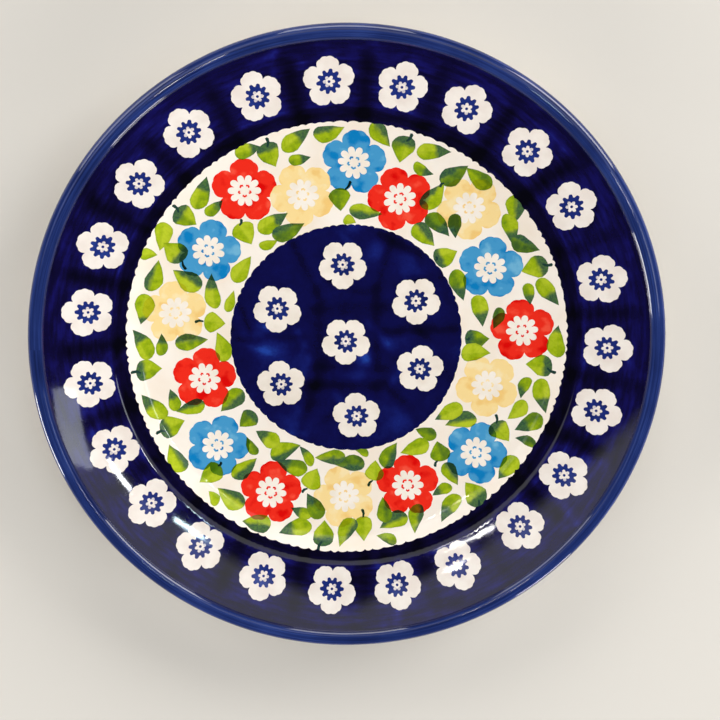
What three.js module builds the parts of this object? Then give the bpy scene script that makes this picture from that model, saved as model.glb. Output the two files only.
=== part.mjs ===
// A stamped and hand painted stoneware dessert plate, in millimetres.
// It lies on its foot ring: +Z is the plate's axis, and the origin is the centre of the foot plane.
// The plate is one fired piece: a clay body, and a coat of underglaze colour and clear glaze on each zone.
import * as THREE from "three";

// Driving dimensions.
const plateDiameter = 195;
const wellFloorRadius = 34; // the flat middle of the well
const wellFloorHeight = 7.5;
const wellSideRadius = 64; // the gentle slope of the well turns up into its side here
const wellSideHeight = 11.1;
const wellSideSlope = 0.24; // rise per millimetre outwards
const sideTopRadius = 71.8; // the well's side ends here, under a tight roll
const sideTopHeight = 15.5;
const sideTopSlope = 0.55;
const shoulderRadius = 73.4; // the roll runs out into the rim here
const shoulderHeight = 16.15;
const shoulderSlope = 0.27;
const rimEdgeRadius = 92.6; // the rim meets the lip bead here
const rimEdgeHeight = 23;
const rimEdgeSlope = 0.45;
const lipCrestRadius = 94.8;
const lipCrestHeight = 24.5;
const lipSideHeight = 22.2; // height of the outermost line of the plate
const lipUnderRadius = 95;
const lipUnderHeight = 20;
const rimUnderRadius = 76; // the underside turns down to the foot here
const rimUnderHeight = 12.6;
const footOuterRadius = 59.4;
const footInnerRadius = 54.8;
const footTopHeight = 3.6; // where the ring runs out into the underside
const footFlatOuter = 58.6; // the ring's flat resting band
const footFlatInner = 55.6;
const bareFootHeight = 1.6; // the ring stays unglazed below this height
const baseHeight = 2.6; // recess inside the foot ring
const glazeThickness = 0.35;

// Zones of the decorated face, from the middle outwards.
const medallionRadius = 36; // cobalt medallion
const garlandRadius = 68; // flower garland on white ground

const roundSegments = 64;
const plateRadius = plateDiameter / 2;

const point = (x, y) => new THREE.Vector2(x, y);

// The stations that shape the decorated face, from the flat floor out to the lip bead.
const faceStations = [
  { radius: 0, height: wellFloorHeight, slope: 0 },
  { radius: wellFloorRadius, height: wellFloorHeight, slope: 0 },
  { radius: wellSideRadius, height: wellSideHeight, slope: wellSideSlope },
  { radius: sideTopRadius, height: sideTopHeight, slope: sideTopSlope },
  { radius: shoulderRadius, height: shoulderHeight, slope: shoulderSlope },
  { radius: rimEdgeRadius, height: rimEdgeHeight, slope: rimEdgeSlope },
];

// Height of the decorated face: a smooth curve through the stations that keeps their slopes.
function faceHeight(radius) {
  const next = Math.max(1, faceStations.findIndex((station) => radius <= station.radius));
  const inner = faceStations[next - 1];
  const outer = faceStations[next];
  const run = outer.radius - inner.radius;
  const t = (radius - inner.radius) / run;
  const rise = (outer.height - inner.height) * t * t * (3 - 2 * t);
  const bend = run * t * (1 - t) * (inner.slope * (1 - t) - outer.slope * t);
  return inner.height + rise + bend;
}

// The face between two radii, in equal steps.
function facePoints(from, to, steps) {
  const radii = Array.from({ length: steps + 1 }, (_, i) => from + ((to - from) * i) / steps);
  return radii.map((radius) => point(radius, faceHeight(radius)));
}

// A smooth stretch between two points, steered by a third.
function bentPoints(start, bend, end, count) {
  return new THREE.QuadraticBezierCurve(start, bend, end).getPoints(count);
}

// The rounded lip bead, over its crest and its outermost line and back under.
function lipPoints() {
  const edge = point(rimEdgeRadius, rimEdgeHeight);
  const crest = point(lipCrestRadius, lipCrestHeight);
  const side = point(plateRadius, lipSideHeight);
  const under = point(lipUnderRadius, lipUnderHeight);
  const rise = bentPoints(edge, point(rimEdgeRadius + 0.6, lipCrestHeight), crest, 3);
  const shoulder = bentPoints(crest, point(plateRadius - 0.1, lipCrestHeight), side, 4);
  const tuck = bentPoints(side, point(plateRadius, lipUnderHeight + 0.4), under, 4);
  return [...rise, ...shoulder.slice(1), ...tuck.slice(1)];
}

// The finished surface of each glazed zone, in order along the plate's section.
const zones = {
  medallion_ground: [point(0, wellFloorHeight), ...facePoints(wellFloorRadius, medallionRadius, 1)],
  garland_ground: [
    ...facePoints(medallionRadius, wellSideRadius, 4),
    ...facePoints(wellSideRadius, garlandRadius, 3).slice(1),
  ],
  rim_ground: [
    ...facePoints(garlandRadius, sideTopRadius, 2),
    ...facePoints(sideTopRadius, shoulderRadius, 2).slice(1),
    ...facePoints(shoulderRadius, rimEdgeRadius, 4).slice(1),
  ],
  lip_band: lipPoints(),
  underside_glaze: [
    point(lipUnderRadius, lipUnderHeight),
    point(rimUnderRadius, rimUnderHeight),
    point(footOuterRadius + 1.4, footTopHeight + 0.4),
    point(footOuterRadius + 0.3, footTopHeight - 0.8),
    point(footOuterRadius, bareFootHeight),
  ],
  base_glaze: [
    point(footInnerRadius, bareFootHeight),
    point(footInnerRadius - 1, baseHeight),
    point(0, baseHeight),
  ],
};

const bareFoot = [
  point(footFlatOuter, 0),
  point(footFlatInner, 0),
];

// The clay lies under the finished surface by the thickness of the glaze.
function clayUnder(outline) {
  return outline.map((here, i) => {
    const before = outline[Math.max(0, i - 1)];
    const after = outline[Math.min(outline.length - 1, i + 1)];
    const along = after.clone().sub(before).normalize();
    const inward = point(along.y, -along.x).multiplyScalar(glazeThickness);
    const clay = here.clone().add(inward);
    return here.x === 0 ? point(0, clay.y) : clay;
  });
}

// Neighbouring zones share their end point, so the clay line is worked out along each glazed run.
const faceZones = ["medallion_ground", "garland_ground", "rim_ground", "lip_band", "underside_glaze"];
const faceSurface = faceZones.flatMap((name, i) => zones[name].slice(i ? 1 : 0));
const faceClay = clayUnder(faceSurface);
const baseClay = clayUnder(zones.base_glaze);

const finishes = {
  clay_body: { color: "#c9b08a", roughness: 0.85, metalness: 0 },
  medallion_ground: { color: "#0b1048", roughness: 0.08, metalness: 0 },
  garland_ground: { color: "#efe8dc", roughness: 0.08, metalness: 0 },
  rim_ground: { color: "#0d1252", roughness: 0.08, metalness: 0 },
  lip_band: { color: "#22407e", roughness: 0.1, metalness: 0 },
  underside_glaze: { color: "#e9dfcb", roughness: 0.12, metalness: 0 },
  base_glaze: { color: "#e9dfcb", roughness: 0.12, metalness: 0 },
};

// One turned piece from its closed section. Sections run outwards along the top and back along the
// bottom, and the lathe wants them the other way round to face out.
function turned(name, section) {
  const geometry = new THREE.LatheGeometry(section.slice().reverse(), roundSegments);
  geometry.rotateX(Math.PI / 2);
  const mesh = new THREE.Mesh(geometry, new THREE.MeshStandardMaterial(finishes[name]));
  mesh.name = name;
  return mesh;
}

// A coat's section: along the finished surface and back along the clay, starting on the axis if it can.
function coatSection(surface, clay) {
  const back = clay.slice().reverse();
  if (surface[surface.length - 1].x === 0) return [...back, ...surface];
  const loop = [...surface, ...back];
  return surface[0].x === 0 ? loop : [...loop, surface[0]];
}

const plate = new THREE.Group();
plate.name = "hand_painted_plate";

plate.add(turned("clay_body", [...faceClay, ...bareFoot, ...baseClay]));

let first = 0;
for (const name of faceZones) {
  const last = first + zones[name].length - 1;
  const clay = faceClay.slice(first, last + 1);
  plate.add(turned(name, coatSection(faceSurface.slice(first, last + 1), clay)));
  first = last;
}

plate.add(turned("base_glaze", coatSection(zones.base_glaze, baseClay)));

export default plate;
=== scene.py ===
import math
import random
from functools import partial
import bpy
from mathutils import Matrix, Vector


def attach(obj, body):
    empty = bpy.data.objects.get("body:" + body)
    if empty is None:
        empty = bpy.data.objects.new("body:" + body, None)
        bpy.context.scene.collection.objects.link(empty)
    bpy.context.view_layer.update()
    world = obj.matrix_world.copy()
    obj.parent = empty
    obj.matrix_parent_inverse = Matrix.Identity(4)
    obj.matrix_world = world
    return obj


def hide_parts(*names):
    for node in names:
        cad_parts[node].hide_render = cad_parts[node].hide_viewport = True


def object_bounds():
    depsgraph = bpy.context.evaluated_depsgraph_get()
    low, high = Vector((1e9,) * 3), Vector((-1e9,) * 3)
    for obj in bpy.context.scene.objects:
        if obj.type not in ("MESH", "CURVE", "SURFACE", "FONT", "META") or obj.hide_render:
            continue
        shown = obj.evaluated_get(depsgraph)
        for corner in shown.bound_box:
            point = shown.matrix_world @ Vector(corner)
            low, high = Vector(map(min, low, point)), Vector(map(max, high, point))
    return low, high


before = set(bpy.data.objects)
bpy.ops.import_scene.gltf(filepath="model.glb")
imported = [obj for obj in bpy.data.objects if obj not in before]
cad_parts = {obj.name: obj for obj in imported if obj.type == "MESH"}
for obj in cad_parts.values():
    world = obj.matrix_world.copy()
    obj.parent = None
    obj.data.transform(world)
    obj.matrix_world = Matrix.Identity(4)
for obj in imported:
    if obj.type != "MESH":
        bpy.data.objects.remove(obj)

from types import SimpleNamespace

import bpy
import numpy as np
from mathutils import Matrix, Vector
from mathutils.geometry import delaunay_2d_cdt
from mathutils.kdtree import KDTree

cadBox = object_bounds()
mm = 0.001
fullTurn = 2 * math.pi

# A stamped and painted stoneware plate. All sizes below are millimetres, clocks are degrees
# clockwise from the top of the decoration (+Y), and turns are clockwise too.

plate = {
    "radius": cadBox[1].x / mm,
    "crestHeight": cadBox[1].z / mm,
    "rimEdge": 92.6,  # the rim meets the lip bead here
    "glaze": 0.35,  # thickness of colour and glaze over the clay
    "roundSteps": 360,
    "warp": 0.22, "warpStart": 62, "warpRun": 36, "dips": 3,  # how the lip sags out of true
}

# radius, height and slope at each station of the decorated face
faceStations = [(0, 7.5, 0), (34, 7.5, 0), (64, 11.1, 0.24), (71.8, 15.5, 0.55), (73.4, 16.15, 0.27),
                (92.6, 23, 0.445)]


def faceHeight(radius):
    radius = np.asarray(radius, float)
    height = np.full(radius.shape, float(faceStations[0][1]))
    for (r0, h0, s0), (r1, h1, s1) in zip(faceStations, faceStations[1:]):
        t = (radius - r0) / (r1 - r0)
        curve = h0 + (h1 - h0) * t * t * (3 - 2 * t) + (r1 - r0) * t * (1 - t) * (s0 * (1 - t) - s1 * t)
        height = np.where((radius > r0) & (radius <= r1), curve, height)
    edge, edgeHeight, edgeSlope = faceStations[-1]
    return np.where(radius > edge, edgeHeight + edgeSlope * (radius - edge), height)


def sag(x, y):
    # a fired plate is never quite flat: the rim dips a little in a few places, and never rises
    radius = np.hypot(x, y)
    outwards = np.clip((radius - plate["warpStart"]) / plate["warpRun"], 0, 1) ** 2
    return -plate["warp"] * outwards * (0.5 + 0.5 * np.sin(plate["dips"] * np.arctan2(y, x) + 0.8))


def facePoint(x, y):
    return faceHeight(np.hypot(x, y)) + sag(x, y)


def faceNormal(x, y):
    step = 0.05
    slopeX = (facePoint(x + step, y) - facePoint(x - step, y)) / (2 * step)
    slopeY = (facePoint(x, y + step) - facePoint(x, y - step)) / (2 * step)
    normal = np.stack([-slopeX, -slopeY, np.ones_like(slopeX)], 1)
    return normal / np.linalg.norm(normal, axis=1, keepdims=True)


def onClock(clock, radius):
    a = math.radians(clock)
    return np.array([radius * math.sin(a), radius * math.cos(a)])


def heading(clock):
    return onClock(clock, 1)


# Materials

def paint(hexCode):
    # sRGB hex to linear
    parts = [int(hexCode[i:i + 2], 16) / 255 for i in (1, 3, 5)]
    return [p / 12.92 if p <= 0.04045 else ((p + 0.055) / 1.055) ** 2.4 for p in parts] + [1]


def feed(node, inputs):
    # sets or links the inputs of a node, given in socket order or by name
    for key, value in inputs.items() if isinstance(inputs, dict) else enumerate(inputs):
        if isinstance(value, bpy.types.NodeSocket):
            node.id_data.links.new(value, node.inputs[key])
        else:
            node.inputs[key].default_value = paint(value) if isinstance(value, str) else value


usualSettings = {"MapRange": {"interpolation_type": "SMOOTHSTEP"}, "Mix": {"data_type": "RGBA"}}


def addNode(tree, kind, inputs=(), output=0, stops=(), **settings):
    # adds a node and gives back one of its outputs; kind can end in an operation, and stops are
    # the colours of a ramp
    kind, _, operation = kind.partition(".")
    if operation:
        settings["operation"] = operation
    if kind == "Mix":
        # a mix of colours has them in sockets 6 and 7
        inputs, output = dict(zip((0, 6, 7), inputs)), 2
    node = tree.nodes.new("ShaderNode" + kind)
    for key, value in {**usualSettings.get(kind, {}), **settings}.items():
        setattr(node, key, value)
    feed(node, inputs)
    if stops:
        elements = node.color_ramp.elements
        while len(elements) < len(stops):
            elements.new(0.5)
        for element, (position, hexCode) in zip(elements, stops):
            element.position = position
            element.color = paint(hexCode)
    return node.outputs[output]


def newMaterial(name, roughness, patterns, ior=1.5):
    # patterns are noises: size in millimetres and detail of each, and its roughness if not 0.5
    material = bpy.data.materials.new(name)
    material.use_nodes = True
    shader = material.node_tree.nodes["Principled BSDF"]
    feed(shader, {"Roughness": roughness, "IOR": ior})
    add = partial(addNode, material.node_tree)
    place = add("VectorMath.SCALE", {0: add("TexCoord", output="Object"), "Scale": 1 / mm})
    noise = {}
    for key, (size, detail, *rough) in patterns.items():
        inputs = {"Vector": place, "Scale": 1 / size, "Detail": detail, "Roughness": (rough + [0.5])[0]}
        noise[key] = add("TexNoise", inputs)
    return material, shader, add, place, noise


glazeSurface = {
    "roughness": 0.045, "smoothest": 0.7, "roughest": 1.5,  # the last two are times the roughness
    "rippleDepth": 0.02, "peelDepth": 0.0022,
    "patterns": {"ripple": (7, 1), "peel": (1.1, 2), "smears": (9, 3)},
}


def glazedMaterial(name, patterns):
    # melted glaze sets in slow waves and faint dimples, which break up its reflections
    look = glazeSurface
    parts = newMaterial(name, look["roughness"], {**patterns, **look["patterns"]})
    material, shader, add, place, noise = parts
    slow = add("Math.MULTIPLY", (noise["ripple"], look["rippleDepth"]))
    relief = add("Math.MULTIPLY_ADD", (noise["peel"], look["peelDepth"], slow))
    low, high = look["roughness"] * look["smoothest"], look["roughness"] * look["roughest"]
    feed(shader, {"Roughness": add("MapRange", (noise["smears"], 0.3, 0.75, low, high)),
                  "Normal": add("Bump", {"Height": relief, "Distance": mm, "Strength": 1.0})})
    return parts


def fromAxis(add, place):
    # the level part of a place, and how far it is from the plate's axis
    level = add("VectorMath.MULTIPLY", (place, (1, 1, 0)))
    return level, add("VectorMath.LENGTH", (level,), output="Value")


cobaltLook = {
    "patterns": {"streaks": (5, 4, 0.6), "grain": (0.8, 3, 0.6)},
    "grainShare": 0.35,  # of the mottle
    "wheelTurns": 9.0, "wheelAcross": 0.75, "wheelDetail": 3,
}


def cobaltUnderglaze(name, stops, mottle, wheelStreaks=0.0):
    # Cobalt oxide brushed under clear glaze: nearly black where the coats overlap, and a clear
    # ultramarine where the brush left it thin. The glaze over it is wet looking.
    look = cobaltLook
    material, shader, add, place, noise = glazedMaterial(name, look["patterns"])
    coats = add("Attribute", output="Fac", attribute_name="coats")
    if wheelStreaks:
        # these follow the wheel: slow round the axis, quick along the radius
        level, radius = fromAxis(add, place)
        turn = add("VectorMath.NORMALIZE", (level,))
        turn = add("VectorMath.SCALE", {0: turn, "Scale": look["wheelTurns"]})
        across = add("Math.MULTIPLY", (radius, look["wheelAcross"]))
        around = add("VectorMath.ADD", (turn, add("CombineXYZ", {2: across})))
        wheel = add("TexNoise", {"Vector": around, "Scale": 1.0, "Detail": look["wheelDetail"]})
        wheel = add("Math.SUBTRACT", (wheel, 0.5))
        coats = add("Math.MULTIPLY_ADD", (wheel, wheelStreaks, coats))
    grainMottle = mottle * look["grainShare"]
    density = add("Math.MULTIPLY_ADD", (noise["streaks"], mottle, coats))
    density = add("Math.MULTIPLY_ADD", (noise["grain"], grainMottle, density))
    density = add("Math.SUBTRACT", (density, (mottle + grainMottle) / 2))
    feed(shader, {"Base Color": add("ValToRGB", (density,), stops=stops)})
    return material


def stampedWhite(name, clean, warm, bleed):
    # White slip left bare where the sponge stamp kept the cobalt off: milky, faintly warm, with
    # cobalt creeping in at its cut edge.
    patterns = {"clouds": (6, 3), "ragged": (0.7, 2)}
    material, shader, add, place, noise = glazedMaterial(name, patterns)
    warmth = add("MapRange", (noise["clouds"], 0.35, 0.7))
    body = add("Mix", (warmth, clean, warm))
    edge = add("Attribute", output="Fac", attribute_name="edge")
    ragged = add("Math.MULTIPLY_ADD", (noise["ragged"], 0.3, edge))
    creep = add("MapRange", (ragged, 0.1, 0.22, 0.36, 0.0))
    feed(shader, {"Base Color": add("Mix", (creep, body, bleed))})
    return material


def creamGround(name, pale, warm, iron):
    # Pale stoneware under clear glaze: cream, with soft warm clouds and a few iron specks.
    patterns = {"clouds": (14, 3), "specks": (1.3, 1)}
    material, shader, add, place, noise = glazedMaterial(name, patterns)
    clouds = add("MapRange", (noise["clouds"], 0.35, 0.75))
    body = add("Mix", (clouds, pale, warm))
    specks = add("MapRange", (noise["specks"], 0.80, 0.84, 0.0, 0.25))
    feed(shader, {"Base Color": add("Mix", (specks, body, iron))})
    return material


def spongedColour(name, thin, middle, dense, cover=0.5):
    # Bright underglaze colour dabbed on with a sponge: thin and paler where the sponge was dry,
    # dense in pools and along the outline.
    patterns = {"pools": (5, 1.5), "grain": (0.7, 3, 0.6)}
    material, shader, add, place, noise = glazedMaterial(name, patterns)
    edge = add("Attribute", output="Fac", attribute_name="edge")
    edge = add("MapRange", (edge, 0.0, 0.8, 0.05, 0.0))
    density = add("Math.MULTIPLY_ADD", (noise["grain"], 0.12, noise["pools"]))
    density = add("Math.ADD", (density, edge))
    density = add("Math.ADD", (density, cover - 0.56))
    stops = [(0.3, thin), (0.42, middle), (0.54, middle), (0.66, dense)]
    feed(shader, {"Base Color": add("ValToRGB", (density,), stops=stops)})
    return material


leafLook = {
    "patterns": {"cloud": (2.6, 3, 0.55), "grain": (0.7, 3, 0.6)},
    "cloudDepth": 0.95, "grainDepth": 0.3, "raggedStroke": 2.2, "darkest": 0.94,
    "veinStep": 1.5, "veinLean": 0.8, "veinDepth": 0.14, "ribDepth": 0.16, "outlineDepth": 0.3,
    "overFlower": 0.85,
}


def brushedLeaf(name, tones):
    # Green and blue-green underglaze brushed in one or two strokes: a yellow-green wash with a
    # darker stroke laid over part of it, brown where it crosses red.
    look = leafLook
    material, shader, add, place, noise = glazedMaterial(name, look["patterns"])
    cloud, grain = noise["cloud"], noise["grain"]
    painted = {}
    for key in ("tone", "rib", "stroke", "along", "edge"):
        painted[key] = add("Attribute", output="Fac", attribute_name=key)
    depth = add("Math.MULTIPLY_ADD", (cloud, look["cloudDepth"], painted["tone"]))
    depth = add("Math.MULTIPLY_ADD", (grain, look["grainDepth"], depth))
    ribSide = add("MapRange", (painted["rib"], -0.7, 0.7, -0.1, 0.16))
    depth = add("Math.ADD", (depth, ribSide))
    depth = add("Math.SUBTRACT", (depth, 0.6))
    wash = add("ValToRGB", (depth,), stops=tones["wash"])
    past = add("Math.MULTIPLY_ADD", (cloud, look["raggedStroke"], painted["stroke"]))
    past = add("Math.SUBTRACT", (past, look["raggedStroke"] / 2))
    thinness = add("MapRange", (grain, 0.35, 0.7))
    dark = add("Mix", (thinness, tones["dark"], tones["darkThin"]))
    rib = add("Math.ABSOLUTE", (painted["rib"],))
    veins = add("Math.MULTIPLY_ADD", (rib, -look["veinLean"], painted["along"]))
    veins = add("Math.MULTIPLY", (veins, math.pi / look["veinStep"]))
    veins = add("Math.ABSOLUTE", (add("Math.SINE", (veins,)),))
    veins = add("MapRange", (veins, 0.0, 0.45, look["veinDepth"], 0.0))
    middle = add("MapRange", (rib, 0.05, 0.45, look["ribDepth"], 0.0))
    pooled = add("MapRange", (painted["edge"], 0.0, 0.8, look["outlineDepth"], 0.0))
    lines = add("Math.MAXIMUM", (veins, middle))
    lines = add("Math.MAXIMUM", (lines, pooled))
    lined = add("Mix", (lines, wash, tones["line"]))
    over = add("MapRange", (past, -0.8, 0.9, 0.0, look["darkest"]))
    laid = add("Mix", (over, lined, dark))
    beneath = add("Attribute", output="Color", attribute_name="beneath")
    leaf = add("Mix", (look["overFlower"], laid, beneath), blend_type="MULTIPLY")
    feed(shader, {"Base Color": leaf})
    return material


bandLook = {
    "patterns": {"clouds": (16, 2)},
    "streaksAround": 3.0, "streaksAcross": 2.2, "streaksUp": 1.6,
    "grooveWidth": 0.9, "runOut": (20.2, 20.9),  # the blue ends between these heights
}


def turnedBand(name, tones):
    # Thinner cobalt wiped round the lip with a brush while the plate turned: a clear mid blue
    # with fine streaks along the turn, darker in the groove and where the brush overlapped.
    look = bandLook
    material, shader, add, place, noise = glazedMaterial(name, look["patterns"])
    x, y, z = (add("SeparateXYZ", (place,), output=axis) for axis in range(3))
    radius = fromAxis(add, place)[1]
    streakPlace = add("CombineXYZ", [add("Math.MULTIPLY", pair) for pair in (
        (add("Math.ARCTAN2", (y, x)), look["streaksAround"]),
        (radius, look["streaksAcross"]), (z, look["streaksUp"]))])
    streaks = add("TexNoise", {"Vector": streakPlace, "Scale": 1.0, "Detail": 4, "Roughness": 0.6})
    tint = add("Math.MULTIPLY_ADD", (noise["clouds"], 0.5, streaks))
    tint = add("Math.SUBTRACT", (tint, 0.25))
    body = add("ValToRGB", (tint,), stops=tones["band"])
    edge = plate["rimEdge"]
    groove = add("MapRange", (radius, edge, edge + look["grooveWidth"], 0.9, 0.0))
    laid = add("Mix", (groove, body, tones["groove"]))
    # the blue runs out a few millimetres down the outside
    ragged = add("Math.MULTIPLY_ADD", (noise["clouds"], 1.4, z))
    blue = add("MapRange", (ragged, *look["runOut"]))
    feed(shader, {"Base Color": add("Mix", (blue, tones["runOut"], laid))})
    return material


undersideLook = {
    "patterns": {"clouds": (18, 4), "specks": (1.4, 1), "wrap": (9, 3), "waves": (5, 2)},
    "roughness": 0.1, "ringStep": 1.9, "ringDepth": 0.004, "waveDepth": 0.05,
    "wrapRagged": 5.0, "wrapRadius": (94.4, 96.0),
}


def undersideGlaze(name, tones):
    # Clear glaze over buff stoneware: ivory, a little uneven, with iron specks and turning rings.
    look = undersideLook
    material, shader, add, place, noise = newMaterial(name, look["roughness"], look["patterns"])
    clouds = add("MapRange", (noise["clouds"], 0.3, 0.75))
    body = add("Mix", (clouds, tones["pale"], tones["warm"]))
    specks = add("MapRange", (noise["specks"], 0.76, 0.8, 0.0, 0.55))
    body = add("Mix", (specks, body, tones["speck"]))
    radius = fromAxis(add, place)[1]
    wrap = add("Math.MULTIPLY_ADD", (noise["wrap"], look["wrapRagged"], radius))
    blue = add("MapRange", (wrap, *look["wrapRadius"]))
    ring = add("Math.MULTIPLY", (radius, fullTurn / look["ringStep"]))
    ring = add("Math.MULTIPLY", (add("Math.SINE", (ring,)), look["ringDepth"]))
    waves = add("Math.MULTIPLY_ADD", (noise["waves"], look["waveDepth"], ring))
    feed(shader, {"Base Color": add("Mix", (blue, body, tones["wrap"])),
                  "Normal": add("Bump", {"Height": waves, "Distance": mm, "Strength": 1.0})})
    return material


def bareStoneware(name, tones):
    # Fired stoneware wiped clean of glaze: matt buff with fine sand grains, a little scuffed.
    patterns = {"grain": (0.45, 4, 0.65), "clouds": (7, 3)}
    material, shader, add, place, noise = newMaterial(name, 0.8, patterns)
    clouds = add("MapRange", (noise["clouds"], 0.3, 0.7))
    body = add("Mix", (clouds, tones["clay"], tones["toasted"]))
    sand = add("MapRange", (noise["grain"], 0.62, 0.7, 0.0, 0.5))
    feed(shader, {"Base Color": add("Mix", (sand, body, tones["sand"])),
                  "Normal": add("Bump", {"Height": noise["grain"], "Distance": 0.05 * mm, "Strength": 1.0})})
    return material


# Outlines of the stamped and painted motifs, in millimetres on the plan

motifs = []


def addMotif(piece, outline, zone=None, **values):
    # every outline is kept counter-clockwise
    outline = np.asarray(outline, float)
    following = np.roll(outline, -1, axis=0)
    turning = (outline[:, 0] * following[:, 1] - outline[:, 1] * following[:, 0]).sum()
    outline = outline if turning > 0 else outline[::-1]
    motifs.append(SimpleNamespace(piece=piece, outline=outline, zone=zone, values=values))


def petalOutline(centre, turn, petals, reach, notch, fullness=2.2, frills=0, frill=0.0, count=100, wobble=0.0,
                 gap=0.0):
    # petals swell between notches; with a gap they are blunt teeth that far apart
    a = np.arange(count) * fullTurn / count
    u = (a * petals / fullTurn + 0.5) % 1
    s = np.abs(2 * u - 1)
    swell = (1 - s ** fullness) ** 0.75
    if gap:
        fall = np.clip((s - 1 + gap) / (0.8 * gap), 0, 1)
        swell = 1 - fall * fall * (3 - 2 * fall)
    radius = notch + (reach - notch) * swell
    if frills:
        radius = radius - frill * (1 - np.abs(np.sin(math.pi * frills * u)))
    if wobble:
        radius = radius + wobble * np.sin(2 * a + rng.uniform(0, fullTurn))
        radius = radius + wobble * 0.7 * np.sin(3 * a + rng.uniform(0, fullTurn))
    clock = a + math.radians(turn)
    return np.stack([centre[0] + radius * np.sin(clock), centre[1] + radius * np.cos(clock)], 1)


def leafOutline(centre, direction, length, width, bow=0.0, belly=0.42, count=11):
    ahead = heading(direction)
    aside = np.array([ahead[1], -ahead[0]])
    t = (1 - np.cos(np.linspace(0, math.pi, count))) / 2
    half = width / 2 * np.minimum((t / belly) ** 0.55 * ((1 - t) / (1 - belly)) ** 1.12, 1.03)
    half = half * (1 + 0.05 * np.sin(t * 13 + dice.uniform(0, fullTurn)))
    spine = np.outer((t - 0.5) * length, ahead) + np.outer(bow * 4 * t * (1 - t), aside)
    right = spine + np.outer(half, aside)
    left = spine - np.outer(half, aside)
    return np.concatenate([right, left[-2:0:-1]]) + centre


def strokeOutline(start, end, width):
    along = end - start
    along = along / np.linalg.norm(along)
    aside = np.array([along[1], -along[0]]) * width / 2
    middle = (start + end) / 2 + aside * 0.6
    return np.array([start + aside * 0.5, middle + aside * 0.8, end + aside, end + along * width * 0.3,
                     end - aside, middle - aside * 0.8, start - aside * 0.5])


def handCutRing(ring, steps=900):
    # a hand cut band edge: a circle that wanders a little, with uneven scallops along it
    a = np.arange(steps) * fullTurn / steps
    radius = ring["radius"] + np.zeros(steps)
    for waves, amount, clock in ring["wander"]:
        radius += amount * np.cos(waves * (a - math.radians(clock)))
    widths = rng.uniform(0.6, 1.5, round(fullTurn * ring["radius"] / ring["period"]))
    cuts = np.concatenate([[0], np.cumsum(widths)]) / widths.sum() * fullTurn
    which = np.clip(np.searchsorted(cuts, a, "right") - 1, 0, len(widths) - 1)
    within = (a - cuts[which]) / (cuts[which + 1] - cuts[which])
    bulge = np.sin(math.pi * within) ** 0.7 - 0.6
    radius += ring["scallop"] * rng.uniform(0.4, 1.3, len(widths))[which] * bulge
    return np.stack([radius * np.sin(a), radius * np.cos(a)], 1)


rng = np.random.default_rng(7)
dice = random.Random(11)

# the white band's two edges; wander is how many waves, how far, and the clock of one crest
garland = {
    "outer": {"radius": 68.6, "wander": [(1, 0.35, 240), (3, 0.3, 195)], "scallop": 0.6, "period": 3.3},
    "inner": {"radius": 36.4, "wander": [(1, 0.25, 200), (3, 0.3, 35)], "scallop": 0.45, "period": 3.3},
}

edgeAngles = np.arange(plate["roundSteps"]) * fullTurn / plate["roundSteps"]
edgeCircle = np.stack([np.cos(edgeAngles), np.sin(edgeAngles)], 1) * plate["rimEdge"]
addMotif("rim_ground", edgeCircle)
addMotif("garland_ground", handCutRing(garland["outer"]))
addMotif("medallion_ground", handCutRing(garland["inner"]))
rimZone, garlandZone, medallionZone = 0, 1, 2

whiteStamp = {
    "reach": 7.75, "notch": 5.75, "frills": 4, "frill": 0.25,
    "heartReach": 3.75, "heartInner": 2.75, "heartGap": 0.7,
    "starReach": 1.85, "starInner": 1.1, "dot": 0.45,
}


def addWhiteFlower(centre, turn, zone, petals, hearts):
    # one sponge stamp: a five petalled white flower, a toothed cobalt heart and a white star in it
    s = whiteStamp
    addMotif(petals, petalOutline(centre, turn, 5, s["reach"], s["notch"], frills=s["frills"],
                                  frill=s["frill"], wobble=0.08), zone)
    heartTurn = turn + rng.uniform(0, 36)
    addMotif(hearts, petalOutline(centre, heartTurn, 10, s["heartReach"], s["heartInner"], count=80,
                                  wobble=0.12, gap=s["heartGap"]), zone)
    addMotif(petals, petalOutline(centre, heartTurn + 20, 6, s["starReach"], s["starInner"], 1.6, count=24,
                                  wobble=0.05), zone)
    addMotif(hearts, petalOutline(centre, 0, 1, s["dot"], s["dot"], count=8), zone)


rimFlowers = {
    "clocks": [11.5, 26, 42, 57.5, 75, 90.5, 105, 121.5, 137, 154, 168.5, 183.5,
               199.5, 215.5, 230.5, 245.5, 261.5, 277.5, 292.5, 308.5, 324, 340.5, 356],
    "radius": 80.4,
}
for clock in rimFlowers["clocks"]:
    addWhiteFlower(onClock(clock, rimFlowers["radius"] + rng.uniform(-0.3, 0.3)), clock + rng.uniform(-5, 5),
                   rimZone, "rim_flowers", "rim_flower_hearts")

# x, y and turn of each flower of the medallion
medallionFlowers = [(-1.5, 23.5, 36), (21.5, 12, 32), (23, -10, 8), (3, -25.5, -4),
                    (-21, -15, -6), (-22, 9.5, 40), (-0.5, -1, 36)]
for x, y, turn in medallionFlowers:
    addWhiteFlower(np.array([x, y]), turn, medallionZone, "medallion_flowers", "medallion_hearts")

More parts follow.
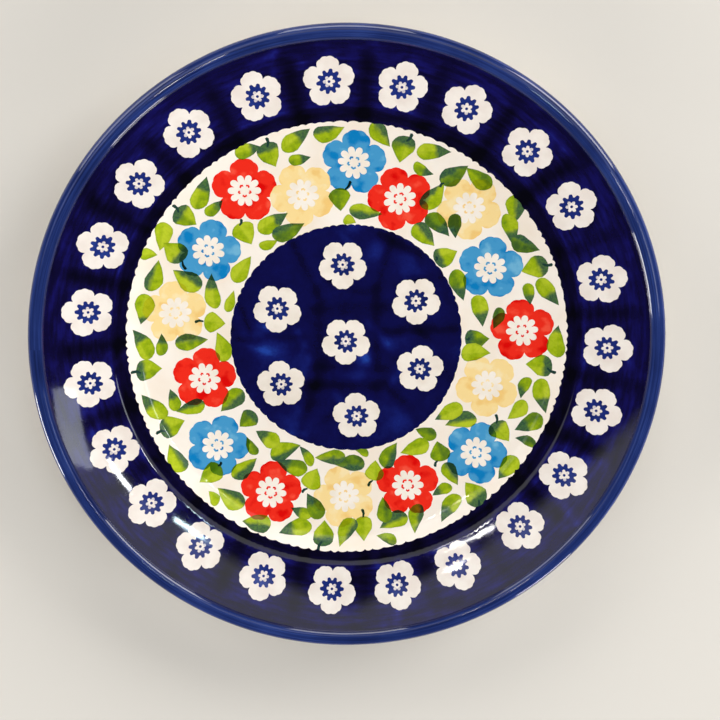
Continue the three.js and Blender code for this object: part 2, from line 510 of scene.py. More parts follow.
# colour, clock, radius and turn of each big flower of the garland
garlandFlowers = [
    ("blue", 2, 55.5, 4), ("red", 20, 47, 36), ("yellow", 42, 56, -5), ("blue", 63, 50, 14),
    ("red", 87, 55, -22), ("yellow", 109, 47, 5), ("blue", 132, 55.5, 32), ("red", 158, 52, -16),
    ("yellow", 181, 52, 14), ("red", 206, 56, 17), ("blue", 230, 54, 7), ("red", 254, 47, -32),
    ("yellow", 279, 54.5, 5), ("blue", 303, 51.5, 0), ("red", 326, 56.5, -38), ("yellow", 343, 47.5, -11),
]
bigStamp = {
    "reach": 10.1, "notch": 7.3, "frills": 4, "frill": 0.25,
    "daisyReach": 5.0, "daisyNotch": 3.2, "markRadius": 1.3, "markWidth": 0.62, "markHalf": 23,
}


def markOutline(centre, turn):
    # one short bent bar of the broken ring inside a daisy
    r, wide = bigStamp["markRadius"], bigStamp["markWidth"]
    half = bigStamp["markHalf"] * dice.uniform(0.7, 1.15)
    rim = [(-half, r), (0, r + 0.3), (half, r), (half, r + wide), (0, r + 0.3 + wide), (-half, r + wide)]
    return [centre + onClock(turn + across, radius) for across, radius in rim]


for colour, clock, radius, turn in garlandFlowers:
    centre, turned, s = onClock(clock, radius), clock + turn, bigStamp
    addMotif(colour + "_flowers", petalOutline(centre, turned, 5, s["reach"], s["notch"], 2.2, s["frills"],
                                               s["frill"], 120, 0.1), garlandZone)
for colour, clock, radius, turn in garlandFlowers:
    centre, turned, s = onClock(clock, radius), clock + turn, bigStamp
    addMotif("daisies", petalOutline(centre, turned + 18, 10, s["daisyReach"], s["daisyNotch"], 2.4,
                                     count=120, wobble=0.08), garlandZone)
    for k in range(5):
        addMotif(colour + "_flowers", markOutline(centre, turned + 36 + k * 72), garlandZone)

# Leaves. A sprig is a stamp of three: an upright leaf with its stalk, a tilted one and a small one.
# The rest were brushed one by one. Tone runs from 0, light, to 1, dark olive, and the last word
# says where the dark stroke lies.
sprigs = [(16, 62), (68, 62.5), (98, 61), (141, 64.5), (187, 64), (243, 62), (261, 63), (308, 63),
          (338, 62.5)]
# clock from the first leaf, radius (or none for the sprig's own), heading, length, width, tone, stroke
sprigLeaves = [
    (0, None, 180, 8, 6.5, 0.2, "base"), (8, 64.5, 65, 10.5, 5, 0.15, "tip"),
    (7.5, 58.5, 95, 7, 3.5, 0.3, "tip"),
]
looseLeaves = [  # clock, radius, heading from outwards, length, width, tone, stroke
    (9, 65, 135, 9, 5, 0.1, "left"), (8, 40.5, 90, 10, 4.5, 0.15, "right"), (1, 37, 100, 4, 3),
    (357, 44, 180, 7, 6, 0.55), (32, 61.5, 25, 9.5, 5.5, 0.6, "left"),
    (30, 52.5, 10, 10, 5.5, 0.15, "left"), (38, 65, 270, 9.5, 5, 0.55), (38, 45.5, 95, 9.5, 5, 0.75, "tip"),
    (36, 40.5, 100, 9, 5.5, 0.15, "left"), (43, 49, 135, 7.5, 4, 1, "tip"),
    (49, 40.5, 20, 7.5, 6, 0.1, "base"), (51, 66, 130, 9, 5.5, 0.2, "left"),
    (55, 61, 110, 10, 4.5, 0.2, "tip"), (61, 63, 50, 9, 5, 0.7, "left"), (78, 42.5, 90, 10, 5, 0.1, "tip"),
    (82, 47.5, 115, 7, 3.5, 0.8), (64, 39, 100, 10, 5, 0.5, "tip"), (90, 41, 0, 7.5, 6, 0.6, "base"),
    (97, 41, 350, 9, 5.5, 0.05), (90, 66, 270, 10, 5, 0.2, "edge"), (115, 63.5, 125, 9.5, 5, 0.6, "tip"),
    (113, 58.5, 110, 8, 4.5, 0.05), (120, 65.5, 165, 6.5, 3, 0.8, "tip"),
    (122, 57.5, 10, 7.5, 6, 0.1, "base"), (129, 66, 90, 9, 5, 0.1, "edge"),
    (127, 45.5, 130, 10, 5, 0.1, "right"), (127, 40.5, 115, 9.5, 5, 0.1, "edge"),
    (143, 55.5, 5, 8, 4.5, 0.2, "left"), (141, 47.5, 200, 6.5, 6, 0.5), (141, 40, 150, 7, 4, 0.6),
    (149, 42, 100, 9.5, 5), (160, 41, 225, 9, 5, 0.6, "right"), (168, 44.5, 190, 6.5, 5.5),
    (159, 63, 30, 9, 4.5, 0.2, "left"), (166, 62, 80, 9.5, 5, 0.15, "right"), (168, 57.5, 185, 8, 4.5, 0.6),
    (169, 66.5, 115, 6.5, 3, 0.2, "left"), (175, 62.5, 5, 7.5, 5.5), (180, 63.5, 30, 9.5, 5, 0.15, "left"),
    (179, 41.5, 90, 9.5, 5, 0.6, "left"), (173, 38, 120, 4.5, 2.5, 0.4),
    (188, 39.5, 80, 9.5, 4.5, 0.15, "left"), (191, 56, 140, 9, 5, 0.6, "tip"), (193, 47.5, 185, 7, 6),
    (203, 45.5, 85, 10, 5, 0.5, "tip"), (208, 42, 220, 10, 5.5, 0.3, "right"),
    (199, 41, 130, 7.5, 3, 0.15, "tip"), (206, 66.5, 75, 9, 5, 0.1, "left"),
    (216, 63.5, 90, 10, 5.5, 0.15, "right"), (218, 53.5, 195, 9.5, 5, 0.3, "right"), (220, 67, 110, 5, 3),
    (225, 62, 10, 8, 6), (221, 46.5, 110, 6.5, 3, 0.6), (218, 41.5, 85, 8.5, 5, 0.1, "tip"),
    (230, 41.5, 0, 6.5, 5.5, 0.55, "base"), (235, 66, 95, 9.5, 5, 0.2, "right"),
    (246, 54.5, 10, 9, 4.5, 0.3, "right"), (241, 42, 345, 9.5, 5.5, 0.25, "left"),
    (269, 49, 175, 10, 5, 0.2, "left"), (266, 40, 80, 9.5, 5), (279, 64.5, 270, 9.5, 5.5, 0.1, "edge"),
    (289, 63.5, 90, 10, 5, 0.15, "left"), (294, 67, 160, 5, 3.5), (300, 66, 250, 9, 5),
    (298, 60.5, 10, 8, 6.5, 0.1, "base"), (291, 53.5, 15, 10, 6, 0.1, "right"),
    (290, 44.5, 65, 11, 4.5, 0.15, "tip"), (288, 38.5, 90, 7, 3), (277, 42, 180, 6.5, 6),
    (304, 39.5, 90, 9.5, 5), (316, 46, 190, 7.5, 6.5), (328, 43.5, 90, 10.5, 5, 0.15, "tip"),
    (321, 39, 110, 6, 3), (332, 39, 95, 10.5, 5, 0.6, "left"), (333, 66.5, 100, 8, 4.5, 0.3, "tip"),
    (355, 65.5, 80, 9.5, 5, 0.15, "left"),
]
stalks = [  # from clock, radius to clock, radius
    (359, 47, 361, 49.5), (31, 57.5, 30.5, 56), (120, 55, 117.5, 53.5), (144, 49.5, 146, 50.5),
    (170, 47.5, 172, 49), (175, 59, 175, 56.5), (194.5, 51, 196, 52.5), (225, 58.5, 225, 57),
    (296, 57, 294, 55), (277, 45.5, 276.5, 48), (317, 49, 319, 50), (90.5, 37.5, 90, 38.5),
    (48, 37, 47, 38),
]
# which way each dark stroke lies, and where it starts as a share of the leaf's length or width
strokeParts = {"tip": (1, 0, 0.06, "length"), "base": (-1, 0, 0.16, "length"), "left": (0, -1, 0.02, "width"),
               "right": (0, 1, 0.02, "width"), "edge": (1, 0, 0.28, "length")}
noStroke = 6.0  # this far from any dark stroke


def addLeaf(clock, radius, direction, length, width, tone=0.1, stroke=""):
    centre = onClock(clock, radius)
    ahead = heading(clock + direction)
    aside = np.array([ahead[1], -ahead[0]])
    bow = dice.uniform(-0.8, 0.8)
    reach = {"length": length, "width": width}
    if stroke:
        forwards, sideways, start, measure = strokeParts[stroke]
        normal = ahead * forwards + aside * sideways
        offset = normal @ centre + start * reach[measure]
    else:
        normal, offset = np.zeros(2), noStroke
    addMotif("leaves", leafOutline(centre, clock + direction, length * 1.04, width * 1.06, bow), garlandZone,
             tone=tone + dice.uniform(-0.06, 0.06), normal=normal, offset=offset, centre=centre, ahead=ahead)


for clock, radius in sprigs:
    for step, own, direction, length, width, tone, stroke in sprigLeaves:
        size = dice.uniform(0.95, 1.03)
        addLeaf(clock + step, own or radius, direction, length * size, width * size, tone, stroke)
for leaf in looseLeaves:
    addLeaf(*leaf)
for clock, radius in sprigs:
    stalk = strokeOutline(onClock(clock, radius + 2.6), onClock(clock + 0.8, radius + 5.2), 1.1)
    addMotif("leaf_stalks", stalk, garlandZone)
for clock0, radius0, clock1, radius1 in stalks:
    stalk = strokeOutline(onClock(clock0, radius0), onClock(clock1, radius1), 1.0)
    addMotif("leaf_stalks", stalk, garlandZone)
print("motifs", len(motifs))

# One triangulated sheet of the whole decorated face, cut along every outline

lattice = {"step": 1.0, "rowStep": 0.866, "clear": 0.35, "edge": 0.6}


def latticePoints():
    step, rowStep = lattice["step"], lattice["step"] * lattice["rowStep"]
    points = []
    rows = int(plate["rimEdge"] / rowStep) + 1
    for row in range(-rows, rows + 1):
        y = row * rowStep
        for column in range(-rows - 1, rows + 2):
            x = (column + 0.5 * (row % 2)) * step
            if math.hypot(x, y) < plate["rimEdge"] - lattice["edge"]:
                points.append((x, y))
    return points


def cutSheet():
    points, faces = [], []
    for motif in motifs:
        first = len(points)
        points.extend(map(tuple, motif.outline))
        faces.append(list(range(first, first + len(motif.outline))))
    tree = KDTree(len(points))
    for i, (x, y) in enumerate(points):
        tree.insert((x, y, 0), i)
    tree.balance()
    for x, y in latticePoints():
        if tree.find((x, y, 0))[2] > lattice["clear"]:
            points.append((x, y))
    flat = [Vector(p) for p in points]
    corners, _, triangles, _, _, sources = delaunay_2d_cdt(flat, [], faces, 0, 1e-5, True)
    return np.array([c[:] for c in corners]), triangles, sources


sheetPoints, sheetTriangles, sheetSources = cutSheet()


def ownerOf(source):
    # the topmost motif whose zone this is; a stamp never crosses its zone's edge
    inside = set(source)
    if medallionZone in inside:
        zone = medallionZone
    elif garlandZone in inside:
        zone = garlandZone
    else:
        zone = rimZone
    kept = [m for m in inside if m > 2 and motifs[m].zone == zone]
    return max(kept) if kept else zone


keptTriangles, owners, beneathOf = [], [], []
leafPieces = ("leaves", "leaf_stalks")
flowerTints = {"red_flowers": "#c8592c", "blue_flowers": "#4f8f96", "yellow_flowers": "#f3e3a0"}
for triangle, source in zip(sheetTriangles, sheetSources):
    if not source:
        continue
    owner = ownerOf(source)
    keptTriangles.append(triangle)
    owners.append(owner)
    under = [m for m in source if motifs[m].piece in flowerTints and m < owner]
    crosses = under and motifs[owner].piece in leafPieces
    beneathOf.append(motifs[max(under)].piece if crosses else "")
keptTriangles = np.array(keptTriangles)
owners = np.array(owners)
a, b, c = (sheetPoints[keptTriangles[:, k]] for k in range(3))
area = (b[:, 0] - a[:, 0]) * (c[:, 1] - a[:, 1]) - (b[:, 1] - a[:, 1]) * (c[:, 0] - a[:, 0])
keptTriangles[area < 0] = keptTriangles[area < 0][:, ::-1]
print("sheet", len(sheetPoints), "points", len(keptTriangles), "triangles")

# Brushed cobalt: how many coats lie at each point of the sheet

brushwork = {
    "rimBase": 0.42, "barDepth": 0.38, "barWidth": 2.4,
    "ringDepth": 0.36, "ringRadius": 70.6, "ringWidth": 2.3,
    # painted highlight: the cobalt is thinned in a ring along the shoulder so that it reads as a bright
    # reflected line
    "paintedHighlightLine": 0.2, "paintedHighlightRadius": 73.6, "paintedHighlightWidth": 0.7,
    "edgeDepth": 0.12, "edgeStart": 88, "edgeRun": 4,
    "medallionBase": 0.54, "medallionEnd": 50,
    # dark strokes square to each other round the centre flower, and out between the others
    "strokes": [(-9, -15, -9, 15), (9, -16, 9, 15), (-12, 9.5, 13, 9.5), (-12, -9.5, 12, -10),
                (-12, -15.5, 12, -15), (9, 15, 14, 33), (-9, 14, -17, 30), (-12, 0, -34, 0),
                (12, 2, 34, 3), (-10, -14, -16, -33), (12, -14, 22, -26), (10, 33, 22, 27)],
    # x, y and size of each thin patch
    "patches": [(-25, -3, 5), (16, -26, 5), (10, 28, 3.5), (20, 22, 4), (-17, -28, 5), (3, -12, 4),
                (6, -6, 3)],
    "patchDepth": 0.26, "dabs": 520, "dabDepth": 0.2,
}


def cobaltCoats(x, y):
    radius, clock = np.hypot(x, y), np.degrees(np.arctan2(x, y)) % 360
    w = brushwork
    onRim = w["rimBase"] + np.zeros_like(x)
    clocks = rimFlowers["clocks"]
    for first, second in zip(clocks, clocks[1:] + [clocks[0] + 360]):
        middle = (first + second) / 2
        away = ((clock - middle + 180) % 360 - 180) * math.pi / 180 * radius
        bar = np.exp(-(away / w["barWidth"]) ** 2) * np.clip((92 - radius) / 6, 0.25, 1)
        onRim += w["barDepth"] * bar * rng.uniform(0.6, 1.2)
    onRim += w["ringDepth"] * np.exp(-((radius - w["ringRadius"]) / w["ringWidth"]) ** 2)
    # painted highlight: a lighter ring of thinner cobalt along the shoulder stands in for a reflected line in
    # the glaze
    onRim -= w["paintedHighlightLine"] * np.exp(-((radius - w["paintedHighlightRadius"]) / w["paintedHighlightWidth"]) ** 2)
    onRim += w["edgeDepth"] * np.clip((radius - w["edgeStart"]) / w["edgeRun"], 0, 1)
    inMedallion = w["medallionBase"] + np.zeros_like(x)
    for x0, y0, x1, y1 in w["strokes"]:
        along = np.array([x1 - x0, y1 - y0], float)
        long = np.linalg.norm(along)
        along /= long
        t = np.clip((x - x0) * along[0] + (y - y0) * along[1], 0, long)
        away = np.hypot(x - x0 - t * along[0], y - y0 - t * along[1])
        inMedallion += rng.uniform(0.12, 0.3) * np.exp(-(away / rng.uniform(1.3, 2.4)) ** 2)
    for x0, y0, size in w["patches"]:
        inMedallion -= w["patchDepth"] * np.exp(-((x - x0) ** 2 + (y - y0) ** 2) / size ** 2)
    coats = np.where(radius < w["medallionEnd"], inMedallion, onRim)
    for _ in range(w["dabs"]):
        x0, y0 = rng.uniform(-95, 95, 2)
        turn, long, wide = rng.uniform(0, math.pi), rng.uniform(3, 7), rng.uniform(0.9, 2.0)
        dx, dy = x - x0, y - y0
        p = dx * math.cos(turn) + dy * math.sin(turn)
        q = dy * math.cos(turn) - dx * math.sin(turn)
        coats += rng.uniform(-w["dabDepth"], w["dabDepth"]) * np.exp(-((p / long) ** 4 + (q / wide) ** 2))
    return coats


sheetCoats = cobaltCoats(sheetPoints[:, 0], sheetPoints[:, 1])


def edgeDistances(triangles, which):
    # millimetres from each corner to its own motif's outline
    distance = np.zeros((len(triangles), 3))
    for m in np.unique(which):
        mine = which == m
        outline = motifs[m].outline
        following = np.roll(outline, -1, axis=0)
        fine = np.concatenate([outline, (outline + following) / 2])
        corner = sheetPoints[triangles[mine]].reshape(-1, 2)
        away = np.sqrt(((corner[:, None, :] - fine[None]) ** 2).sum(2)).min(1)
        distance[mine] = away.reshape(-1, 3)
    return distance


def placed(name, data):
    made = bpy.data.objects.new(name, data)
    bpy.context.scene.collection.objects.link(made)
    return made


def paintTile(name, mesh, chosen, used, local):
    # what the paint does, corner by corner: the top's corners come first
    loopCount, topLoops = len(mesh.loops), local.size
    triangles, which = keptTriangles[chosen], owners[chosen]

    def store(label, topValues, elsewhere):
        values = np.full(loopCount, float(elsewhere))
        values[:topLoops] = topValues.ravel()
        layer = mesh.attributes.new(label, "FLOAT", "CORNER")
        layer.data.foreach_set("value", values.astype(np.float32))

    def valuesOf(key, default):
        return np.array([motifs[m].values.get(key, default) for m in which])

    if name.endswith("ground") or name.endswith("hearts"):
        store("coats", sheetCoats[used][local], 0.5)
    if not name.endswith("ground"):
        store("edge", edgeDistances(triangles, which), 1.0)
    if name not in leafPieces:
        return
    normal = valuesOf("normal", np.zeros(2))
    offset = valuesOf("offset", noStroke)
    ahead = valuesOf("ahead", (0.0, 1.0))
    centre = np.array([motifs[m].values.get("centre", motifs[m].outline[0]) for m in which])
    corner = sheetPoints[triangles]
    past = (corner * normal[:, None, :]).sum(2) - offset[:, None]
    past = np.where((normal == 0).all(1)[:, None], -noStroke, past)
    apart = corner - centre[:, None, :]
    store("along", (apart * ahead[:, None, :]).sum(2), 0.0)
    store("rib", apart[:, :, 0] * ahead[:, None, 1] - apart[:, :, 1] * ahead[:, None, 0], 1.0)
    store("tone", np.repeat(valuesOf("tone", 1.0), 3), 0.3)
    store("stroke", past, -3.0)
    tints = [beneathOf[i] for i in np.flatnonzero(chosen)]
    shade = np.array([paint(flowerTints[t]) if t else [1, 1, 1, 1] for t in tints])
    colours = np.ones((loopCount, 4))
    colours[:topLoops] = np.repeat(shade, 3, axis=0)
    layer = mesh.attributes.new("beneath", "FLOAT_COLOR", "CORNER")
    layer.data.foreach_set("color", colours.astype(np.float32).ravel())


# bake layout: the top fills the square, the bottom and the walls sit in two corner gaps
bakeLayout = {
    "topSize": 0.48, "underPlace": (0.09, 0.09), "underSize": 0.08,
    "wallPlace": (0.91, 0.09), "wallOuter": 0.08, "wallInner": 0.07,
}


def closedTile(name, material):
    # one decorated piece: its part of the sheet on the glaze surface, closed underneath
    chosen = np.array([motifs[m].piece == name for m in owners])
    used, local = np.unique(keptTriangles[chosen], return_inverse=True)
    local = local.reshape(-1, 3)
    plan = sheetPoints[used]
    count = len(used)
    height = facePoint(plan[:, 0], plan[:, 1])
    top = np.column_stack([plan, height])
    bottom = np.column_stack([plan, height - plate["glaze"]])
    directed = np.concatenate([local[:, [0, 1]], local[:, [1, 2]], local[:, [2, 0]]])
    keys = directed[:, 0].astype(np.int64) * count + directed[:, 1]
    reverse = directed[:, 1].astype(np.int64) * count + directed[:, 0]
    border = directed[~np.isin(keys, reverse)]
    walls = np.column_stack([border[:, 1], border[:, 0], border[:, 0] + count, border[:, 1] + count])
    under = local[:, ::-1] + count
    loops = np.concatenate([local.ravel(), under.ravel(), walls.ravel()])
    sizes = np.concatenate([np.full(2 * len(local), 3), np.full(len(walls), 4)])
    mesh = bpy.data.meshes.new(name)
    mesh.vertices.add(2 * count)
    mesh.vertices.foreach_set("co", (np.concatenate([top, bottom]) * mm).astype(np.float32).ravel())
    mesh.loops.add(len(loops))
    mesh.loops.foreach_set("vertex_index", loops.astype(np.int32))
    mesh.polygons.add(len(sizes))
    starts = np.concatenate([[0], np.cumsum(sizes)[:-1]])
    mesh.polygons.foreach_set("loop_start", starts.astype(np.int32))
    mesh.update(calc_edges=True)
    mesh.polygons.foreach_set("use_smooth", np.ones(len(sizes), bool))

    layout = bakeLayout
    span = np.hypot(plan[:, 0], plan[:, 1]).max()
    both = np.concatenate([plan, plan]) / span
    uv = np.empty((len(loops), 2))
    topLoops, underLoops = local.size, 2 * local.size
    uv[:topLoops] = 0.5 + layout["topSize"] * both[loops[:topLoops]]
    underUv = layout["underSize"] * both[loops[topLoops:underLoops]]
    uv[topLoops:underLoops] = np.array(layout["underPlace"]) + underUv
    wallLoops = loops[underLoops:]
    shrink = np.where(wallLoops < count, layout["wallOuter"], layout["wallInner"])[:, None]
    uv[underLoops:] = np.array(layout["wallPlace"]) + shrink * both[wallLoops]
    mesh.uv_layers.new(name="OFBake").data.foreach_set("uv", uv.astype(np.float32).ravel())
    paintTile(name, mesh, chosen, used, local)

    normals = np.zeros((len(loops), 3))
    normals[:topLoops] = faceNormal(plan[:, 0], plan[:, 1])[local.ravel()]
    normals[topLoops:underLoops] = (0, 0, -1)
    runs = both[walls[:, 1]] - both[walls[:, 0]]
    outward = np.column_stack([-runs[:, 1], runs[:, 0], np.zeros(len(runs))])
    outward /= np.maximum(np.linalg.norm(outward, axis=1, keepdims=True), 1e-9)
    normals[underLoops:] = np.repeat(outward, 4, axis=0)
    mesh.validate()
    mesh.normals_split_custom_set(normals.astype(np.float32))
    mesh.materials.append(material)
    return placed(name, mesh)


# Turned pieces

def bentLine(start, bend, end, steps):
    t = np.linspace(0, 1, steps + 1)[:, None]
    start, bend, end = (np.array(p, float) for p in (start, bend, end))
    return (1 - t) ** 2 * start + 2 * t * (1 - t) * bend + t * t * end


def joined(*lines):
    return np.concatenate([lines[0]] + [line[1:] for line in lines[1:]])


def inset(line, depth):
    # the line moved in by depth, towards its right as it runs
    before = np.concatenate([line[:1], line[:-1]])
    after = np.concatenate([line[1:], line[-1:]])
    along = after - before
    along = along / np.linalg.norm(along, axis=1, keepdims=True)
    moved = line + np.column_stack([along[:, 1], -along[:, 0]]) * depth
    moved[line[:, 0] == 0, 0] = 0
    return moved


def turnedPiece(name, section, material, sharp=50):
    # section runs clockwise round the solid: outwards along the top and back along the bottom
    steps = plate["roundSteps"]
    vertices, rings = [], []
    for r, z in section:
        first = len(vertices)
        if r < 1e-6:
            vertices.append((0, 0, z))
            rings.append([first] * steps)
        else:
            x, y = r * np.cos(edgeAngles), r * np.sin(edgeAngles)
            vertices.extend(zip(x, y, z + sag(x, y)))
            rings.append(range(first, first + steps))
    faces = []
    for ring, following in zip(rings, rings[1:] + rings[:1]):
        for k in range(steps):
            n = (k + 1) % steps
            corners = list(dict.fromkeys((ring[k], following[k], following[n], ring[n])))
            if len(corners) > 2:
                faces.append(corners)
    mesh = bpy.data.meshes.new(name)
    mesh.from_pydata([Vector(v) * mm for v in vertices], [], faces)
    mesh.update()
    mesh.polygons.foreach_set("use_smooth", np.ones(len(mesh.polygons), bool))
    mesh.set_sharp_from_angle(angle=math.radians(sharp))
    mesh.materials.append(material)
    return placed(name, mesh)


section = {
    "edge": (92.6, 23), "crest": (94.8, plate["crestHeight"]), "side": (plate["radius"], 22.2),
    "under": (95, 20), "flare": (76, 12.6), "heel": (60.8, 4.0), "footOuter": (59.4, 1.6),
    "footInner": (54.8, 1.6), "footFlatOuter": (58.6, 0), "footFlatInner": (55.6, 0),
    "baseEdge": (53.2, 2.6), "baseMiddle": (27, 2.6), "baseCentre": (0, 2.6),
}
s = {key: np.array(point, float) for key, point in section.items()}
lipLine = joined(
    bentLine(s["edge"], (s["edge"][0] + 0.6, s["crest"][1]), s["crest"], 8),
    bentLine(s["crest"], (s["side"][0] - 0.1, s["crest"][1]), s["side"], 10),
    bentLine(s["side"], (s["side"][0], s["under"][1] + 0.4), s["under"], 8),
)
heelStart, heelBend = s["heel"] + (1.2, 1.1), s["heel"] - (0.6, 0.6)
undersideLine = joined(
    bentLine(s["under"], (86, 16.4), s["flare"], 12),
    bentLine(s["flare"], (66.5, 8.6), heelStart, 10),
    bentLine(heelStart, heelBend, s["footOuter"], 8),
)
baseLine = joined(
    bentLine(s["footInner"], (s["footInner"][0] - 0.2, s["baseEdge"][1]), s["baseEdge"], 6),
    bentLine(s["baseEdge"], s["baseMiddle"], s["baseCentre"], 10),
)
glaze, clearance = plate["glaze"], 0.02
faceRadii = np.concatenate([np.linspace(0, 64, 17), np.linspace(66, 73.4, 9), np.linspace(76, 92.6, 6)])
faceLine = np.column_stack([faceRadii, faceHeight(faceRadii) - glaze - clearance])
lipClay, undersideClay, baseClay = (inset(line, glaze) for line in (lipLine, undersideLine, baseLine))
footLine = joined(
    s["footOuter"][None] - (glaze, 0),
    bentLine(s["footOuter"], (s["footOuter"][0], 0.1), s["footFlatOuter"], 5),
)


def coat(surface, clay):
    return np.concatenate([surface, clay[::-1]])


print("outlines cut, building pieces")

glazes = {
    "rim": [(0.1, "#1d2680"), (0.3, "#13115a"), (0.5, "#0c083a"), (0.72, "#070424"), (1.0, "#02010c")],
    "medallion": [(0.1, "#1e3f9c"), (0.3, "#121c68"), (0.5, "#0b0c49"), (0.72, "#07052c"), (1.0, "#02020f")],
    "hearts": [(0.1, "#2c4494"), (0.4, "#1c2b74"), (0.8, "#111a54"), (1.0, "#0a1038")],
}
rimCobalt = cobaltUnderglaze("cobaltUnderglazeRim", glazes["rim"], 0.36, 0.75)
medallionCobalt = cobaltUnderglaze("cobaltUnderglazeMedallion", glazes["medallion"], 0.36)
heartCobalt = cobaltUnderglaze("cobaltUnderglazeHearts", glazes["hearts"], 0.4)
rimWhite = stampedWhite("stampedWhiteRim", "#eee7e0", "#e5dbd3", "#5a5f96")
medallionWhite = stampedWhite("stampedWhiteMedallion", "#f1e9df", "#e8ded2", "#5a649c")
cream = creamGround("creamGroundGlaze", "#f8f0e6", "#f3e6d6", "#b79a78")
daisyWhite = stampedWhite("stampedWhiteDaisies", "#f8f0e6", "#f1e7d9", "#e8d0b8")
redPaint = spongedColour("redUnderglaze", "#f5523c", "#ee2c1c", "#dc0806", 0.5)
bluePaint = spongedColour("blueUnderglaze", "#6fb2d6", "#4598cb", "#0c7cbe", 0.5)
yellowPaint = spongedColour("yellowUnderglaze", "#f9e4b2", "#f8db98", "#f4cb7c", 0.46)
leafTones = {
    "wash": [(0.0, "#b6c62c"), (0.3, "#9ab214"), (0.6, "#6f8e18"), (1.0, "#3c5c26")],
    "dark": "#2a4c42", "darkThin": "#4a6f3c", "line": "#5f7d22",
}
leafPaint = brushedLeaf("greenUnderglaze", leafTones)
stalkTones = {
    "wash": [(0.0, "#3a5a3a"), (0.5, "#2b4a3a"), (1.0, "#1e3a34")],
    "dark": "#1d3632", "darkThin": "#2a4638", "line": "#23423a",
}
stalkPaint = brushedLeaf("stalkUnderglaze", stalkTones)
lipBlue = turnedBand("cobaltWashLip", {
    "band": [(0.25, "#2c4080"), (0.5, "#1c2c64"), (0.75, "#101c48")],
    "groove": "#10123a", "runOut": "#d9cfbd"})
undersideIvory = undersideGlaze("clearGlazeUnderside", {
    "pale": "#e9e0cd", "warm": "#dccfb6", "speck": "#8a6a48", "wrap": "#24367a"})
footClay = bareStoneware("bareStonewareFoot", {"clay": "#c9b596", "toasted": "#b89c78", "sand": "#8c7355"})

tilePieces = [  # name, material, material slot, CAD node that it stands for
    ("rim_ground", rimCobalt, "cobalt_glaze", "rim_ground"),
    ("garland_ground", cream, "white_glaze", "garland_ground"),
    ("medallion_ground", medallionCobalt, "cobalt_glaze", "medallion_ground"),
    ("rim_flowers", rimWhite, "white_glaze", None),
    ("rim_flower_hearts", heartCobalt, "cobalt_glaze", None),
    ("medallion_flowers", medallionWhite, "white_glaze", None),
    ("medallion_hearts", heartCobalt, "cobalt_glaze", None),
    ("red_flowers", redPaint, None, None),
    ("blue_flowers", bluePaint, None, None),
    ("yellow_flowers", yellowPaint, None, None),
    ("daisies", daisyWhite, "white_glaze", None),
    ("leaves", leafPaint, None, None),
    ("leaf_stalks", stalkPaint, None, None),
]
clayBody = np.concatenate([faceLine, lipClay[1:], undersideClay[1:], footLine[1:],
                           [s["footFlatInner"], (s["footInner"][0], 0.7)], baseClay])
turnedPieces = [
    ("stoneware_body", clayBody, footClay, "clay", "clay_body"),
    ("lip_band", coat(lipLine, lipClay), lipBlue, "lip_glaze", "lip_band"),
    ("underside_glaze", coat(undersideLine, undersideClay), undersideIvory, "underside_glaze",
     "underside_glaze"),
    ("base_glaze", coat(baseLine, baseClay), undersideIvory, "underside_glaze", "base_glaze"),
]


def settle(piece, node):
    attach(piece, "root")
    if node:
        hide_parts(node)


for name, material, slot, node in tilePieces:
    settle(closedTile(name, material), node)
for name, outline, material, slot, node in turnedPieces:
    settle(turnedPiece(name, outline, material), node)
print("pieces built")

# Stage: a pale floor, soft boxes and the camera

studio = {
    "floor": "#d9d6d0", "floorRadius": 1.2,
    # azimuth, zenith, power, size and whether the glaze mirrors it
    "boxes": [(38, 65, 16.5, 0.74, True), (90, 65, 10, 0.74, True), (142, 65, 7, 0.74, True),
              (205, 76, 6, 0.74, False), (208, 81, 12, 0.42, True), (270, 78, 12, 0.74, False),
              (303, 81, 5, 0.3, True), (335, 76, 16, 0.74, False)],
    "boxDistance": 1.6, "lampDistance": 1.4, "boxTint": "#fffcf8",
    "ceiling": 1.1, "overhead": 0.04, "horizon": 0.85,
}


def softLight(name, direction, along, distance, width, height, power, tint):
    data = bpy.data.lights.new(name, "AREA")
    data.shape = "RECTANGLE"
    data.size, data.size_y = width, height
    data.energy = power
    data.color = paint(tint)[:3]
    lamp = placed(name, data)
    facing = Vector(direction).normalized()
    across = facing.cross(Vector(along)).normalized()
    turned = Matrix((across.cross(facing), across, facing)).transposed().to_4x4()
    lamp.matrix_world = Matrix.Translation(facing * distance) @ turned
    lamp.visible_camera = False
    return lamp


# the soft boxes stand low round the plate, where only the lip mirrors them
for degrees, fromAxis, power, size, mirrored in studio["boxes"]:
    azimuth, zenith = math.radians(degrees), math.radians(fromAxis)
    level = math.sin(zenith)
    direction = (level * math.cos(azimuth), level * math.sin(azimuth), math.cos(zenith))
    box = softLight("softBox%d" % degrees, direction, (0, 0, 1), studio["boxDistance"],
                    size, size, power, studio["boxTint"])
    box.visible_glossy = mirrored
# small lamps and one window, whose shapes show as the highlights in the glaze
lamps = [  # name, direction, along, length, width, power, tint
    ("stripLamp", (-0.172, 0.069, 0.983), (0.06, 0.033, 0.01), 0.1, 0.008, 0.16, "#fffdf8"),
    ("stripLampHead", (-0.192, 0.061, 0.98), (0.027, 0.015, 0.005), 0.042, 0.02, 0.17, "#fffdf8"),
    ("spotLamp", (-0.164, 0.152, 0.974), (0.023, 0.019, 0.001), 0.028, 0.02, 0.12, "#fffdf8"),
    ("spotLampTail", (-0.176, 0.142, 0.974), (0.023, 0.019, 0.001), 0.034, 0.006, 0.05, "#fffdf8"),
    ("sideLampOuter", (0.376, -0.006, 0.927), (-0.031, 0.04, 0.015), 0.084, 0.026, 0.34, "#f8fcff"),
    ("sideLampInner", (0.245, 0.066, 0.967), (-0.051, 0.029, 0.013), 0.084, 0.024, 0.3, "#dcf8ff"),
    ("windowLamp", (0.485, -0.08, 0.87), (0, 1, 0), 0.2, 0.12, 0.36, "#eef4ff"),
]
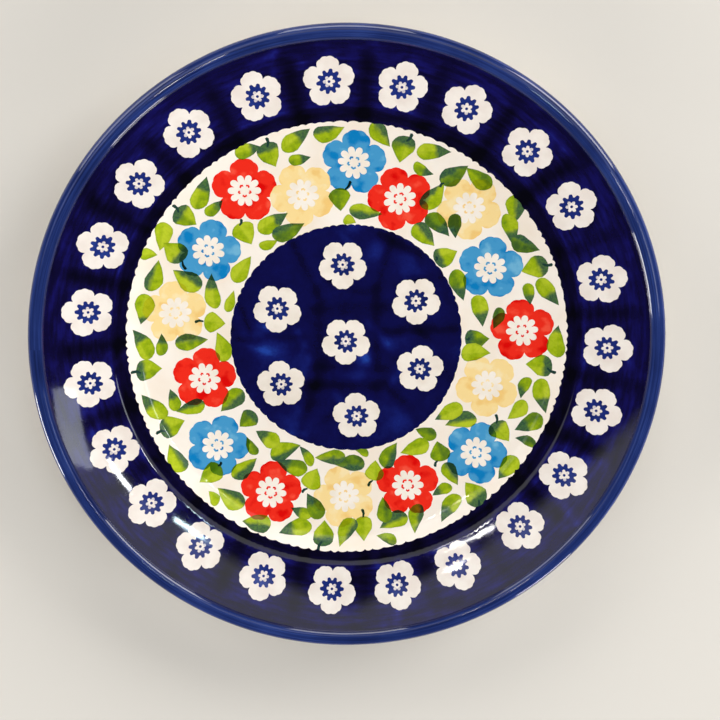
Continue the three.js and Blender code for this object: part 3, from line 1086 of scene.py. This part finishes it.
for name, direction, along, long, wide, power, tint in lamps:
    softLight(name, direction, along, studio["lampDistance"], long, wide, power, tint)

def grey(level):
    return [level] * 3 + [1]


world = bpy.data.worlds.new("studioRoom")
bpy.context.scene.world = world
world.use_nodes = True
add = partial(addNode, world.node_tree)
sky = add("TexCoord", output="Generated")
x, y, z = (add("SeparateXYZ", (sky,), output=axis) for axis in range(3))
# a pale ceiling shows in the lower rim only, as a veil; overhead and behind, the room is dark
wedge = add("Math.MULTIPLY_ADD", (add("Math.ABSOLUTE", (x,)), 0.7, y))
ceiling = add("MapRange", (wedge, 0.28, 0.36))
for side, low, high in ((y, -0.12, -0.22), (z, 0.82, 0.785)):
    within = add("MapRange", (side, low, high, 1.0, 0.0))
    ceiling = add("Math.MULTIPLY", (ceiling, within))
level = add("Mix", (ceiling, grey(studio["overhead"]), grey(studio["ceiling"])))
above = add("MapRange", (z, 0.05, 0.2))
level = add("Mix", (above, grey(studio["horizon"]), level))
feed(world.node_tree.nodes["Background"], {"Color": level})

floorMesh = bpy.data.meshes.new("floor")
floorRing = edgeCircle / plate["rimEdge"] * studio["floorRadius"]
floorMesh.from_pydata([(x, y, 0) for x, y in floorRing], [], [range(len(floorRing))])
floor = placed("floor", floorMesh)
floorMaterial, shader = newMaterial("mattPaperFloor", 0.9, {})[:2]
feed(shader, {"Base Color": studio["floor"]})
floorMesh.materials.append(floorMaterial)

view = {
    "tilt": 13.45, "side": -0.85,  # degrees from the plate's axis, towards the top and to the left
    "distance": 460, "aim": (3.74, -2.92), "lens": 75.5,
}
tilt, side = math.radians(view["tilt"]), math.radians(-view["side"])
right = Vector((math.cos(side), math.sin(tilt) * math.sin(side), math.cos(tilt) * math.sin(side)))
up = Vector((0, math.cos(tilt), -math.sin(tilt)))
back = right.cross(up)
lipCentre = Vector((0, 0, cadBox[1].z))
eye = lipCentre + (right * view["aim"][0] + up * view["aim"][1] + back * view["distance"]) * mm
cameraData = bpy.data.cameras.new("camera")
cameraData.sensor_width = 36
cameraData.lens = view["lens"]
camera = placed("camera", cameraData)
camera.matrix_world = Matrix.Translation(eye) @ Matrix((right, up, back)).transposed().to_4x4()
bpy.context.scene.camera = camera
bpy.context.scene.view_settings.view_transform = "Standard"
print("stage set")
